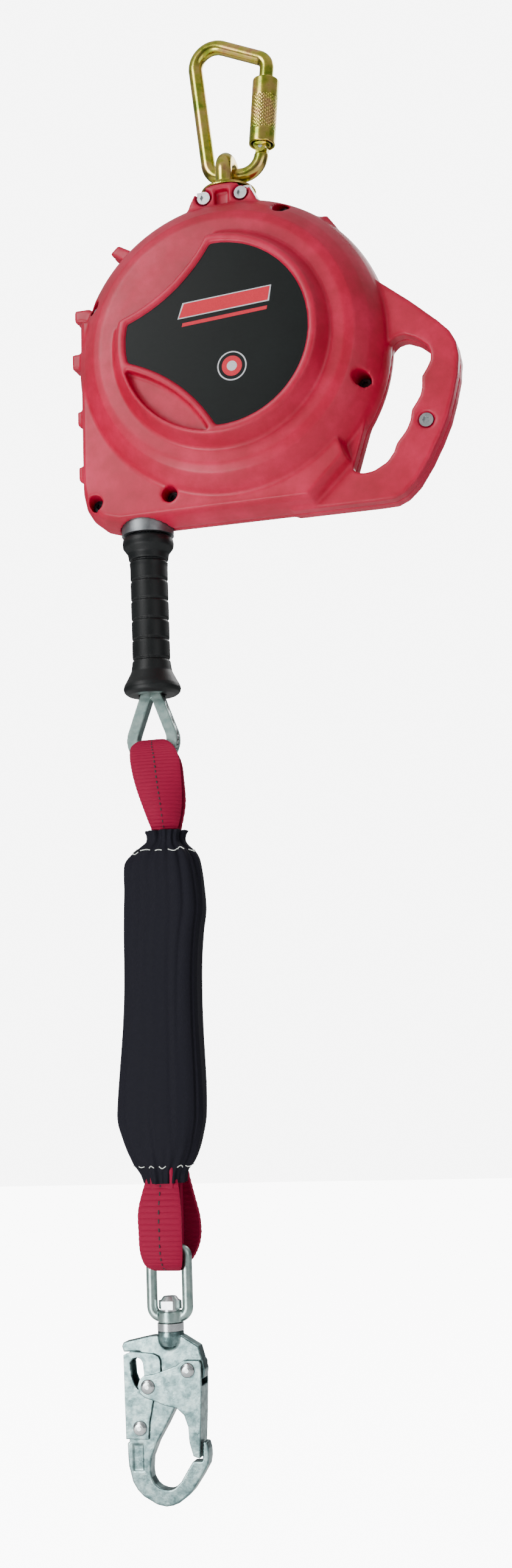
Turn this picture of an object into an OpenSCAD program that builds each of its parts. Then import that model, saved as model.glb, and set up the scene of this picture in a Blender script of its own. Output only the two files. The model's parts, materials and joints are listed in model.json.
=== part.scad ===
// Self retracting lifeline: wire rope on a sprung drum in a moulded housing, hung from a
// carabiner, with a shock pack and a snap hook on the free end.
// +Z is up, +X is right, the label faces -Y. The origin is the bearing point inside the
// top bow of the carabiner, on the swivel axis.

/* [Housing] */
// radius of the round housing
body_r = 115; // [110:0.5:120]
// depth of the front moulding, joint face to bezel lip
front_depth = 50; // [47:0.5:56]
// depth of the rear moulding, joint face to flat back
rear_depth = 46; // [44:0.5:54]
// half depth of the rim and skirt band
band_half = 22; // [20:0.5:26]
// thickness of the moulded walls
wall = 4; // [3:0.1:5]
// radius of the label
label_r = 65.6; // [60:0.2:68]
// half depth of the carrying handle
handle_half = 11; // [9:0.5:14]

/* [Lifeline] */
// diameter of the wire rope
rope_d = 4.8; // [4:0.1:5]
// winding radius of the outer rope layer, and the offset of the nozzle
wind_r = 69.1; // [68:0.1:71]
// depth of the drum axis under the origin
drum_z = 232.3; // [231:0.1:233]
// radius of the drum's side plates
flange_r = 82; // [78:0.5:84]
// diameter of the fixed main shaft
shaft_d = 14; // [12:0.2:16]
// number of teeth on the brake ring
teeth = 12; // [8:2:16]

/* [Nozzle and grip] */
// outer diameter of the steel nozzle collar
collar_d = 37.2; // [34:0.2:40]
// diameter of the grip's head
head_d = 36.6; // [32:0.2:38]
// diameter of the grip's shank
grip_d = 26.7; // [24:0.2:30]
// diameter of the grip's flared end
flare_d = 40.7; // [36:0.2:44]

/* [Thimble and webbing] */
// centre radius of the thimble's bow
thimble_r = 14.5; // [13.5:0.1:15.5]
// full width of the webbing
web_w = 34; // [32:0.5:38]
// thickness of the webbing
web_t = 2.4; // [2:0.1:2.8]
// half depth of the shock pack
pack_half = 15; // [13:0.5:18]

/* [Carabiner] */
// diameter of the carabiner's bar
bar_d = 10.3; // [9.6:0.1:10.6]
// diameter of the locking sleeve
sleeve_d = 19; // [17:0.2:20]

/* [Swivels and hook] */
// diameter of the swivel eye's bar
eye_d = 12; // [10:0.2:12.4]
// diameter of the bail's rod
rod_d = 7.3; // [6.6:0.1:7.8]
// thickness of the forged hook body
hook_t = 9.5; // [8.5:0.1:9.8]
// thickness of the folded sheet levers
sheet_t = 1.4; // [1.1:0.1:1.6]

/* [Fits] */
// radial running clearance
run = 0.06; // [0.03:0.01:0.1]
// clearance between soft pieces and their neighbours
soft = 0.3; // [0.2:0.05:0.5]

/* [Hidden] */
$fn = 96;
rope_r = rope_d / 2;
dz = -drum_z;
nx = -wind_r;
shaft_r = shaft_d / 2;
eye_r = eye_d / 2;
bar_r = bar_d / 2;
rod_r = rod_d / 2;
bar_z = -95.3;
eye_in = bar_r + 0.35;
neck_z = -108.5;
yoke_z = -110.5;
coil_half = 12.3;
plate_in = coil_half + 0.4;
plate_out = plate_in + 1.8;
arm_in = 27;
arm_out = 30;
core_r = 46;
ring_in = 48;
boss_pts = [[-97.7, -188.7], [-100.8, -333.7], [-45.2, -333.8], [96.1, -269.4], [43.1, -135.6]];
screw_r = 2.5;
floor_z = -353;
collar_z = -346;
grip_top = -357;
grip_end = -472;
bow_z = -504;
th_w = 8;
th_half = rope_r + 2.1;
bail_w = 12.5;
bail_top = -852;
hook_half = hook_t / 2;
lever_in = hook_half + 0.3;
gate_in = lever_in + sheet_t + 0.25;
gx = -55.7;
gz = -929.5;
lx = -90.4;
lz = -967.3;

module ycyl(r, y0, y1) {
  translate([0, y1, 0])
    rotate([90, 0, 0])
      cylinder(r = r, h = y1 - y0);
}
module ytube(ro, ri, y0, y1) {
  difference() {
    ycyl(ro, y0, y1);
    ycyl(ri, y0 - 1, y1 + 1);
  }
}
module plate(y0, y1) {
  translate([0, y1, 0])
    rotate([90, 0, 0])
      linear_extrude(height = y1 - y0)
        children();
}
module spin_y() {
  rotate([-90, 0, 0])
    rotate_extrude()
      children();
}
module at(p) {
  translate([p[0], 0, p[1]])
    children();
}
module rod2(a, b, r) {
  d = b - a;
  translate([a[0], 0, a[1]])
    rotate([0, atan2(d[0], d[1]), 0])
      cylinder(r = r, h = norm(d));
}
// bent rod at corner b between a and c with centre radius br
module bend(a, b, c, br, r) {
  u = (a - b) / norm(a - b);
  v = (c - b) / norm(c - b);
  half = acos(u * v) / 2;
  m = (u + v) / norm(u + v);
  o = b + m * br / sin(half);
  sweep = 180 - 2 * half;
  am = atan2(-m[1], -m[0]);
  translate([o[0], 0, o[1]])
    rotate([90, 0, 0])
      rotate([0, 0, am - sweep / 2])
        rotate_extrude(angle = sweep)
          translate([br, 0])
            circle(r = r);
}
function tang(a, b, c, br) =
  let (u = (a - b) / norm(a - b), v = (c - b) / norm(c - b), half = acos(u * v) / 2)
  b + u * br / tan(half);
// rod held back a hair at both ends, where a knuckle closes the joint
module rod3(a, b, r) {
  u = (b - a) / norm(b - a);
  rod2(a + u * 0.05, b - u * 0.05, r);
}
// small ball that closes the joint between a rod and a bend
module knuckle(p, r) {
  translate([p[0], 0, p[1]])
    sphere(r = r + 0.03);
}
module hexy(af, y0, y1) {
  translate([0, y1, 0])
    rotate([90, 0, 0])
      cylinder(r = af / sqrt(3), h = y1 - y0, $fn = 6);
}

// ---- carabiner ----
ca = [-24.3, 17.1];
cb = [32.7, -9.6];
cc = [24.2, -95.3];
cd = [-13.5, -95.3];
ra = 15;
rb = 9;
rc = 15;
rd = 13;
gdir = (cc - cb) / norm(cc - cb);
gtilt = atan2(gdir[0], -gdir[1]);
sleeve_top = [31.2, -24.6];
sleeve_len = 50.5;
gate_foot = sleeve_top + gdir * 52.6;
module on_gate() {
  translate([sleeve_top[0], 0, sleeve_top[1]])
    rotate([0, -gtilt, 0])
      children();
}
module carabiner_body() {
  color([0.72, 0.66, 0.36])
    difference() {
      union() {
        rod3(tang(cb, ca, cd, ra), tang(ca, cb, cc, rb), bar_r);
        rod3(tang(cd, ca, cb, ra), tang(ca, cd, cc, rd), bar_r);
        rod3(tang(cc, cd, ca, rd), tang(cd, cc, cb, rc), bar_r);
        rod3(tang(cc, cb, ca, rb), sleeve_top - gdir * 0.4, bar_r);
        bend(cd, ca, cb, ra, bar_r);
        bend(ca, cd, cc, rd, bar_r);
        bend(cd, cc, cb, rc, bar_r);
        bend(ca, cb, cc, rb, bar_r);
        for (p = [tang(cb, ca, cd, ra), tang(ca, cb, cc, rb), tang(cd, ca, cb, ra),
          tang(ca, cd, cc, rd), tang(cc, cd, ca, rd), tang(cd, cc, cb, rc), tang(cc, cb, ca, rb)])
          knuckle(p, bar_r);
        // flat tongue the gate straddles
        on_gate()
          translate([-4.4, -2, -59])
            cube([8.8, 4, 10]);
        // catch under the nose
        on_gate()
          translate([0, 0, -2.4])
            cylinder(r = 2.2, h = 3);
        on_gate()
          translate([0, 0, -3.4])
            cylinder(r = 3.4, h = 1.4);
      }
      on_gate()
        translate([0, 0, -52.6])
          ycyl(1.6, -3, 3);
    }
}
module carabiner_gate() {
  color([0.7, 0.66, 0.4])
    on_gate()
      difference() {
        union() {
          translate([0, 0, -50])
            cylinder(r = 4.7, h = 49.2);
          translate([0, 0, -52.6])
            ycyl(4.2, -4.4, 4.4);
          translate([-4.2, -4.4, -52.6])
            cube([8.4, 8.8, 6]);
          // lower shoulder the sleeve rides on
          translate([0, 0, -50.2])
            cylinder(r = 6.6, h = 2.2);
        }
        translate([-5, -2.15, -60])
          cube([10, 4.3, 12.5]);
        translate([0, 0, -52.6])
          ycyl(1.6, -6, 6);
        // socket for the catch
        translate([-3.8, -3.7, -5.2])
          cube([15.8, 7.4, 5]);
        // bore for the return spring
        translate([0, 0, -47.6])
          cylinder(r = 2.4, h = 14);
      }
}
module gate_pin() {
  color([0.6, 0.6, 0.6])
    on_gate()
      translate([0, 0, -52.6])
        ycyl(1.6 - run, -4.6, 4.6);
}
module coil_z(r, w, z0, z1, n) {
  for (i = [0:n - 1])
    translate([0, 0, z0 + w + (z1 - z0 - 2 * w) * i / (n - 1)])
      rotate_extrude()
        translate([r, 0])
          circle(r = w, $fn = 24);
}
module gate_spring() {
  color([0.6, 0.6, 0.62])
    on_gate()
      coil_z(1.7, 0.45, -47.5, -34, 8);
}
module locking_sleeve() {
  color([0.62, 0.6, 0.42])
    on_gate()
      difference() {
        union() {
          translate([0, 0, -sleeve_len])
            cylinder(r = sleeve_d / 2, h = sleeve_len - 0.9);
        }
        translate([0, 0, -sleeve_len - 1])
          cylinder(r = 6.9, h = 37);
        translate([0, 0, -sleeve_len - 1])
          cylinder(r = 4.7 + run, h = sleeve_len + 3);
        translate([0, 0, -5.4])
          cylinder(r = 6.4, h = 6);
        // stepped notch at the lower end
        translate([0, -12, -sleeve_len - 1])
          cube([7, 6, 8]);
        // way for the catch when the gate swings, before and after the quarter turn
        translate([0, -3.9, -5.6])
          cube([12, 16, 6]);
        translate([-3.9, 0, -5.6])
          cube([16, 12, 6]);
      }
}
module sleeve_spring() {
  color([0.6, 0.6, 0.62])
    on_gate()
      coil_z(5.7, 0.6, -46.4, -14.6, 9);
}

// ---- swivel eye ----
module swivel_eye() {
  color([0.7, 0.65, 0.32])
    difference() {
      union() {
        translate([0, 0, bar_z])
          rotate([90, 0, 90])
            rotate_extrude(angle = 180)
              translate([eye_in + eye_r, 0])
                circle(r = eye_r);
        for (s = [-1, 1])
          translate([0, s * (eye_in + eye_r), -105])
            cylinder(r = eye_r, h = 105 + bar_z);
        translate([0, 0, neck_z + 0.1])
          cylinder(r = 20, h = 1.6);
        translate([0, 0, neck_z + 1.7])
          cylinder(r1 = 20, r2 = 15.6, h = 2.8);
        translate([0, 0, yoke_z + 0.05])
          cylinder(r = 9, h = 3);
        translate([0, 0, -133.5])
          cylinder(r = 6, h = 25);
      }
      translate([-8, 0, -131.9])
        rotate([0, 90, 0])
          cylinder(r = 1.2, h = 16, $fn = 32);
    }
}
module thrust_washer() {
  color([0.65, 0.65, 0.66])
    translate([0, 0, -125.2])
      difference() {
        cylinder(r = 11, h = 1.6);
        translate([0, 0, -1])
          cylinder(r = 6 + run, h = 4);
      }
}
module swivel_nut() {
  color([0.6, 0.6, 0.6])
    translate([0, 0, -130.2])
      difference() {
        cylinder(r = 18 / sqrt(3), h = 5, $fn = 6);
        translate([0, 0, -1])
          cylinder(r = 6 + run, h = 7);
      }
}
module swivel_cotter() {
  color([0.6, 0.6, 0.6])
    translate([-8, 0, -131.9])
      rotate([0, 90, 0])
        cylinder(r = 1.2 - run, h = 16, $fn = 32);
}

// ---- housing ----
// the two hollow arcs that take the left corners off the label
module upper_cut(lip) {
  translate([-105.6, 0, 130])
    ycyl(122 - lip, -60, -20);
}
module lower_cut(lip) {
  translate([-100.5, 0, -118.5])
    ycyl(111.8 - lip, -60, -20);
}
module dome_front() {
  difference() {
    dome_turned();
    // pocket for the label
    at([0, dz])
      difference() {
        ycyl(label_r + 0.4, -60, -front_depth + 3);
        upper_cut(0.4);
        lower_cut(0.4);
      }
    // boss cut away above the label, and sunk below it
    at([0, dz]) {
      intersection() {
        upper_cut(5.2);
        ycyl(label_r + 30, -60, -front_depth + 13.2);
      }
      intersection() {
        lower_cut(5.2);
        ycyl(label_r + 3.4, -60, -front_depth + 7);
      }
    }
  }
}
module dome_turned() {
  at([0, dz])
    rotate([180, 0, 0])
      spin_y()
        polygon([[0, 0], [body_r, 0], [body_r, 5], [body_r - 1.2, 10], [body_r - 3.4, 15],
          [body_r - 6.6, 20], [body_r - 11, 26], [body_r - 15, 30],
          [body_r - 20, front_depth - 15.5],
          [body_r - 26, front_depth - 13.5], [label_r + 13, front_depth - 13.2],
          [label_r + 6.5, front_depth - 1.2], [label_r + 5.2, front_depth],
          [0, front_depth]]);
}
module hollow_front() {
  at([0, dz])
    rotate([180, 0, 0])
      spin_y()
        polygon([[0, -1], [body_r - wall, -1], [body_r - wall - 1, 8], [body_r - wall - 7, 18],
          [body_r - wall - 12, 23], [body_r - wall - 19, front_depth - 19.5],
          [38, front_depth - 17.4], [34, front_depth - 7.2], [0, front_depth - 7.2]]);
}
module dome_rear() {
  at([0, dz])
    spin_y()
      polygon([[0, 0], [body_r, 0], [body_r, 5], [body_r - 1.2, 10], [body_r - 3.4, 15],
        [body_r - 6.6, 20], [body_r - 11, 26], [body_r - 18, rear_depth - 9],
        [body_r - 30, rear_depth], [0, rear_depth]]);
}
module hollow_rear() {
  at([0, dz])
    spin_y()
      polygon([[0, -1], [body_r - wall, -1], [body_r - wall - 1, 8], [body_r - wall - 7, 18],
        [body_r - wall - 12, 23], [body_r - wall - 20, rear_depth - 12],
        [body_r - 34, rear_depth - wall], [0, rear_depth - wall]]);
}
skirt = [[-114.5, -195], [-114.5, -325], [-112.6, -334], [-107.5, -342.5], [-99, -349.5],
  [-88, floor_z], [58, floor_z], [86, -326], [60, -232], [0, -232]];
skirt_in = [[-102, -205], [-102, -322], [-100, -330], [-97, -335], [-91, -339.5],
  [-84, -342], [44, -342], [62, -326], [50, -240], [0, -236]];
// the outline drawn in towards the middle, for the rounding at its front and rear edges
function drawn_in(pts, d) = [for (p = pts) p - (p - [0, dz]) * d / norm(p - [0, dz])];
module skirt_solid(s) {
  hull()
    for (k = [[0, 4], [2.4, 11], [5.4, 18], [8.6, band_half]])
      plate(s < 0 ? -k[1] : 0, s < 0 ? 0 : k[1])
        polygon(drawn_in(skirt, k[0]));
}
neck = [[-28, -150], [-28, -135], [-26, -126], [-23.5, -120], [-20.5, -114.5], [-15.5, -111.3], [-8, -109.2],
  [0, neck_z], [8, -109.2], [15.5, -111.3], [20.5, -114.5], [23.5, -120], [26, -126], [28, -135], [28, -150]];
handle_out = [[88, -180], [107.5, -194.5], [130, -213], [148, -229.5], [156, -238], [160, -246],
  [161.5, -256], [160.2, -269], [156.5, -284], [152.1, -298.4], [146, -312], [137.9, -327],
  [128.5, -341], [120, -349], [112, -352.6], [100, floor_z], [40, floor_z], [60, -300]];
handle_in = [[112, -243], [118.5, -237.3], [124.6, -236.4], [133, -240], [140, -246], [142.2, -252],
  [141.9, -257.5], [138.6, -263.5], [135.5, -268], [135.2, -275], [133.9, -281],
  [130.5, -286.5], [127.1, -291], [126, -298], [123.4, -304], [119.2, -309.5],
  [115.6, -313.5], [113.2, -320], [108.2, -326], [99, -331], [90.7, -332], [84, -329]];
lugs = [[[-106, -182.3], [-118.4, -182.3], [-118.4, -191.5], [-106, -192.5]],
  [[-106, -215.5], [-120.8, -215.5], [-120.8, -226.8], [-106, -229]],
  [[-106, -259.3], [-117.8, -259.3], [-117.8, -270], [-106, -273]],
  [[-106, -300.6], [-117.8, -301.2], [-117.8, -311.5], [-106, -314.5]],
  [[-77, -151], [-89.8, -142.9], [-83.2, -137], [-70, -144.5]],
  [[60, -148], [67, -139.6], [73.3, -139.4], [80.4, -149.6], [74, -156]],
  [[84, -314], [90.4, -319.7], [95, -325.2], [89.6, -331.6], [78, -326]]];
module outline_band(s) {
  // s is -1 for the front half and 1 for the rear half
  skirt_solid(s);
  plate(s < 0 ? -20 : 0, s < 0 ? 0 : 20)
    polygon(neck);
  for (l = lugs)
    plate(s < 0 ? -8 : 0, s < 0 ? 0 : 8)
      polygon(l);
}
module handle_half_solid(s) {
  plate(s < 0 ? -handle_half : 0, s < 0 ? 0 : handle_half)
    polygon(handle_out);
}
module handle_gap() {
  plate(-60, 60)
    polygon(handle_in);
}
module bosses(y0, y1) {
  for (p = boss_pts)
    at(p)
      ycyl(7.4, y0, y1);
}
module inner_room(s) {
  difference() {
    union() {
      if (s < 0)
        hollow_front();
      else
        hollow_rear();
      plate(s < 0 ? -band_half + wall : -1, s < 0 ? 1 : band_half - wall)
        intersection() {
          polygon(skirt_in);
          translate([-130, -360])
            square([170, 190]);
        }
    }
    bosses(-60, 60);
    // rings that steady the yoke arms
    at([0, dz]) {
      ytube(18, 13, -60, -arm_out - run);
      ytube(18, 13, arm_out + run, 60);
    }
    // solid web round the nozzle
    translate([nx, 0, -362])
      cylinder(r = 21, h = 22);
  }
}
module yoke_room() {
  translate([-21, -14.3, -152])
    cube([42, 28.6, 152 + yoke_z + 0.3]);
}
module neck_cuts() {
  translate([0, 0, yoke_z - 1])
    cylinder(r = 9.5, h = 6);
  for (s = [-1, 1])
    at([s * 13.7, -117.5]) {
      ycyl(3.2, -40, 40);
    }
  plate(-21, -15)
    polygon([[-5.5, -113.4], [5, -113], [4.5, -126], [-5, -126]]);
}
module nozzle_hole() {
  translate([nx, 0, -400])
    cylinder(r = 10 + run, h = 70);
  translate([nx, 0, -400])
    cylinder(r = collar_d / 2 + run, h = 400 + collar_z);
}
module front_shell() {
  color([0.78, 0.09, 0.18])
    difference() {
      union() {
        dome_front();
        difference() {
          union() {
            outline_band(-1);
            handle_half_solid(-1);
          }
          handle_gap();
        }
      }
      inner_room(-1);
      yoke_room();
      neck_cuts();
      nozzle_hole();
      for (s = [-1, 1])
        at([s * 13.7, -117.5])
          ycyl(6.1, -40, -15.6);
      for (p = boss_pts)
        at(p) {
          ycyl(5.6, -60, -8);
          ycyl(screw_r + run, -9, 1);
        }
      at([136.9, -299.6]) {
        ycyl(5.8, -30, -handle_half + 3.2);
        ycyl(screw_r + run, -30, 1);
      }
    }
}
module rear_shell() {
  color([0.78, 0.09, 0.18])
    difference() {
      union() {
        dome_rear();
        difference() {
          union() {
            outline_band(1);
            handle_half_solid(1);
          }
          handle_gap();
        }
      }
      inner_room(1);
      yoke_room();
      neck_cuts();
      nozzle_hole();
      for (s = [-1, 1])
        at([s * 13.7, -117.5])
          hexy(10.4, 15.6, 40);
      for (p = boss_pts)
        at(p)
          ycyl(screw_r + run, -1, 15);
      at([136.9, -299.6])
        ycyl(screw_r + run, -1, 8);
    }
}
module label_plate() {
  color([0.07, 0.08, 0.08])
    at([0, dz])
      difference() {
        ycyl(label_r, -front_depth + 2, -front_depth + 3);
        upper_cut(0);
        lower_cut(0);
      }
}
module yoke() {
  color([0.6, 0.62, 0.64])
    difference() {
      union() {
        translate([-20, -14, -149.8])
          cube([40, 28, 149.8 + yoke_z]);
        translate([-20, -arm_out, -149.8])
          cube([40, 2 * arm_out, 5.3]);
        for (s = [-1, 1])
          translate([-20, s < 0 ? -arm_out : arm_in, dz])
            cube([40, arm_out - arm_in, drum_z - 145.5]);
        at([0, dz]) {
          ycyl(20, -arm_out, -arm_in);
          ycyl(20, arm_in, arm_out);
        }
      }
      translate([0, 0, -180])
        cylinder(r = 6 + run, h = 90);
      translate([-12.2, -20, -136])
        cube([24.4, 40, 12.4]);
      translate([0, 0, -160])
        cylinder(r = 8, h = 20);
      for (s = [-1, 1])
        at([s * 13.7, -117.5])
          ycyl(3.2, -20, 20);
      at([0, dz])
        ycyl(shaft_r + run, -40, 40);
    }
}
module socket_screw(hr, hh, sr, y0, y1) {
  difference() {
    union() {
      ycyl(hr, y0, y0 + hh);
      ycyl(sr, y0 + hh, y1);
    }
    hexy(hr, y0 - 1, y0 + hh * 0.55);
  }
}
module neck_screws() {
  color([0.75, 0.75, 0.76])
    for (s = [-1, 1])
      at([s * 13.7, -117.5])
        socket_screw(4.7, 3.4, 3.1, -19, 19);
}
module neck_nuts() {
  color([0.7, 0.7, 0.7])
    for (s = [-1, 1])
      at([s * 13.7, -117.5])
        difference() {
          hexy(10, 15.7, 19.9);
          ycyl(3.1, 10, 30);
        }
}
module case_screws() {
  color([0.7, 0.7, 0.71])
    for (p = boss_pts)
      at(p)
        socket_screw(4.2, 3.4, screw_r, -11.4, 14);
}
module handle_screw() {
  color([0.78, 0.78, 0.79])
    at([136.9, -299.6])
      socket_screw(4.9, 2.6, screw_r, -handle_half + 0.6, 7.5);
}
module main_shaft() {
  color([0.66, 0.67, 0.68])
    at([0, dz])
      difference() {
        ycyl(shaft_r, -33.5, 33.5);
        for (s = [-1, 1])
          ytube(shaft_r + 2, shaft_r - 0.8, s * 31.2 - 0.8, s * 31.2 + 0.8);
      }
}
module shaft_clips() {
  color([0.3, 0.3, 0.3])
    at([0, dz])
      for (s = [-1, 1])
        ytube(shaft_r + 3, shaft_r - 0.75, s * 31.2 - 0.7, s * 31.2 + 0.7);
}
module nozzle_collar() {
  color([0.45, 0.47, 0.48])
    translate([nx, 0, 0])
      difference() {
        translate([0, 0, grip_top + 0.6])
          cylinder(r = collar_d / 2, h = collar_z - grip_top - 0.6);
        translate([0, 0, grip_top - 1])
          cylinder(r = 10 + run, h = 30);
        translate([0, 0, grip_top - 1])
          cylinder(r = 15, h = 6);
      }
}
module nozzle_bush() {
  color([0.85, 0.85, 0.8])
    translate([nx, 0, 0])
      difference() {
        translate([0, 0, grip_top + 5])
          cylinder(r = 10, h = 22);
        translate([0, 0, grip_top - 1])
          cylinder(r = rope_r + 0.4, h = 40);
      }
}

// ---- drum ----
module drum_core() {
  color([0.2, 0.2, 0.21])
    at([0, dz])
      ytube(core_r, core_r - 4, -plate_in, plate_in);
}
module drum_flanges() {
  color([0.62, 0.64, 0.66])
    at([0, dz])
      for (s = [-1, 1])
        ytube(flange_r, 9, s < 0 ? -plate_out : plate_in, s < 0 ? -plate_in : plate_out);
}
module drum_bushes() {
  color([0.7, 0.55, 0.25])
    at([0, dz]) {
      ytube(9, shaft_r + run, -plate_out, -plate_in + 5);
      ytube(9, shaft_r + run, plate_in - 5, plate_out);
    }
}
module rope_coil() {
  color([0.6, 0.62, 0.63])
    at([0, dz]) {
      ytube(wind_r - rope_r - 0.1, core_r + 0.05, -coil_half, coil_half);
      for (i = [-2, -1, 1, 2])
        rotate([90, 0, 0])
          translate([0, 0, i * (rope_d + 0.1)])
            rotate_extrude()
              translate([wind_r - 0.15, 0])
                circle(r = rope_r);
    }
}
module rope_clamp() {
  color([0.7, 0.7, 0.7])
    at([0, dz])
      translate([25.5, 0, 25.5])
        ycyl(3, -plate_in + 0.05, plate_in - 0.05);
}
module spring_arbor() {
  color([0.55, 0.56, 0.58])
    at([0, dz])
      ytube(11.5, shaft_r + run, plate_out, 24.8);
}
module spring_case() {
  color([0.5, 0.52, 0.54])
    at([0, dz]) {
      ytube(74, 72, 15.8, 25);
      ytube(74, shaft_r + run, 25, arm_in);
    }
}
module spring_cover() {
  color([0.58, 0.6, 0.62])
    at([0, dz])
      ytube(74, 12.5, 15, 15.8);
}
module mainspring() {
  // strip wound as half rings whose centres step from side to side
  color([0.35, 0.38, 0.45])
    at([0, dz])
      for (i = [0:17]) {
        r = 12.4 + i * 3.26;
        translate([i % 2 == 0 ? 0 : 3.26, 0, 0])
          translate([0, 24.4, 0])
            rotate([90, 0, 0])
              rotate([0, 0, i % 2 == 0 ? 0 : 180])
                rotate_extrude(angle = 180)
                  translate([r - 0.4, 0])
                    square([0.8, 8]);
      }
}

// ---- brake ----
module pawl_shape() {
  // pivot at the origin, heel to the right, tip up and left
  polygon([[-4.5, -3.5], [2, -4.8], [10, -4.5], [16, -2], [16.5, 2], [11, 3.6], [3, 4.6],
    [-4, 4.4], [-13, 6.4], [-20, 9.6], [-22.4, 11.4], [-21.6, 5.5], [-15, 1.2]]);
}
module pawl_at(k) {
  at([0, dz])
    rotate([0, k * 180, 0])
      translate([4, 0, 30])
        children();
}
module pawl_pins() {
  color([0.7, 0.7, 0.72])
    for (k = [0, 1])
      pawl_at(k)
        ycyl(2.5, -21.8, -plate_out);
}
module pawl(k) {
  color([0.5, 0.52, 0.54])
    pawl_at(k)
      difference() {
        plate(-20, -15.6)
          pawl_shape();
        ycyl(2.5 + run, -30, 0);
      }
}
module pawl_a() {
  pawl(0);
}
module pawl_b() {
  pawl(1);
}
module pawl_springs() {
  color([0.6, 0.6, 0.62])
    for (k = [0, 1])
      pawl_at(k)
        translate([0, -20.9, 0])
          rotate([90, 0, 0])
            rotate_extrude()
              translate([3.1, 0])
                circle(r = 0.5, $fn = 24);
}
module brake_ring() {
  color([0.55, 0.56, 0.58])
    at([0, dz]) {
      difference() {
        plate(-20.5, -15.6)
          difference() {
            circle(r = 58);
            for (i = [0:teeth - 1])
              rotate([0, 0, i * 360 / teeth])
                polygon([[0, 0], [51.5, -12], [54, -9], [52.5, 5], [48, 11]]);
            circle(r = ring_in);
          }
      }
      ytube(74, 57.5, -20.5, -18.5);
    }
}
module brake_linings() {
  color([0.35, 0.25, 0.18])
    at([0, dz]) {
      ytube(73, 60, -18.45, -16.95);
      ytube(73, 60, -22.05, -20.55);
    }
}
module pressure_plates() {
  color([0.6, 0.6, 0.62])
    at([0, dz]) {
      difference() {
        ytube(80.5, 60, -16.9, -15.5);
        studs(2.05, -30, 0);
      }
      difference() {
        ytube(80.5, 60, -24.05, -22.1);
        studs(2.05, -30, 0);
      }
    }
}
module studs(r, y0, y1) {
  for (i = [0:3])
    rotate([0, 45 + i * 90, 0])
      translate([77.6, 0, 0])
        ycyl(r, y0, y1);
}
module disc_spring() {
  color([0.5, 0.5, 0.52])
    at([0, dz])
      rotate([180, 0, 0])
        spin_y()
          polygon([[62, 24.1], [72, 24.9], [72, 25.5], [62, 24.7]]);
}
module brake_cover() {
  color([0.6, 0.62, 0.64])
    at([0, dz])
      difference() {
        ytube(81, shaft_r + run, -arm_in + 0.05, -25.55);
        studs(2.05, -30, 0);
      }
}
module brake_studs() {
  color([0.72, 0.72, 0.72])
    at([0, dz])
      studs(2, -arm_in - 1.5, -15.3);
}

// ---- lifeline ----
module rope_run() {
  color([0.6, 0.62, 0.63])
    translate([nx, 0, -442])
      cylinder(r = rope_r - 0.02, h = 442 + dz);
}
module ferrule() {
  color([0.72, 0.73, 0.74])
    translate([nx, 0, -466.2])
      difference() {
        cylinder(r = 5.4, h = 34);
        translate([0, 0, 24])
          cylinder(r = rope_r + run, h = 20);
      }
}
module grip() {
  color([0.05, 0.06, 0.06])
    translate([nx, 0, 0])
      rotate_extrude()
        difference() {
          polygon([[5.5, grip_top], [head_d / 2 - 2, grip_top], [head_d / 2 - 0.5, grip_top - 2],
            [head_d / 2, grip_top - 5], [head_d / 2 - 0.3, grip_top - 8],
            [head_d / 2 - 3.6, grip_top - 12.5], [grip_d / 2 + 0.8, grip_top - 16.5],
            [grip_d / 2, grip_top - 22], [grip_d / 2, grip_end + 25],
            [grip_d / 2 + 1.2, grip_end + 17], [grip_d / 2 + 4.2, grip_end + 11],
            [flare_d / 2 - 0.8, grip_end + 7.5], [flare_d / 2, grip_end + 4.8],
            [flare_d / 2 - 0.8, grip_end + 2], [flare_d / 2 - 3.5, grip_end], [9.8, grip_end],
            [9.2, grip_end + 3], [8.5, grip_end + 6], [8.5, grip_end + 12], [5.5, grip_end + 15]]);
          for (i = [0:5])
            translate([grip_d / 2 - 1.1, -376 - i * 14.3])
              square([3, 1.7]);
        }
}
// flat band that follows the bow and its two tangent legs, between two radii
tilt = 20.2;
function leg_at(r, l) = [r * cos(tilt) - l * sin(tilt), r * sin(tilt) + l * cos(tilt)];
module teardrop(ri, ro, h) {
  at([nx, bow_z]) {
    difference() {
      ytube(ro, ri, -h, h);
      plate(-h - 1, h + 1)
        polygon([[0, 0], [60 * cos(tilt), 60 * sin(tilt)], [60, 60], [-60, 60],
          [-60 * cos(tilt), 60 * sin(tilt)]]);
    }
    for (s = [0, 1])
      mirror([s, 0, 0])
        intersection() {
          plate(-h, h)
            polygon([leg_at(ri + 0.03, 0), leg_at(ri + 0.03, 50), leg_at(ro - 0.03, 50),
              leg_at(ro - 0.03, 0), leg_at(ro - 1.2, -2), leg_at(ri + 1.2, -2)]);
          translate([0.4, -30, -10])
            cube([40, 60, 47.3]);
        }
  }
}
module thimble() {
  color([0.7, 0.73, 0.73])
    difference() {
      teardrop(thimble_r - th_w / 2, thimble_r + th_w / 2, th_half);
      // groove the rope lies in
      teardrop(thimble_r - th_w / 2 + 2.9, 40, rope_r + 0.1);
    }
}
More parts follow.
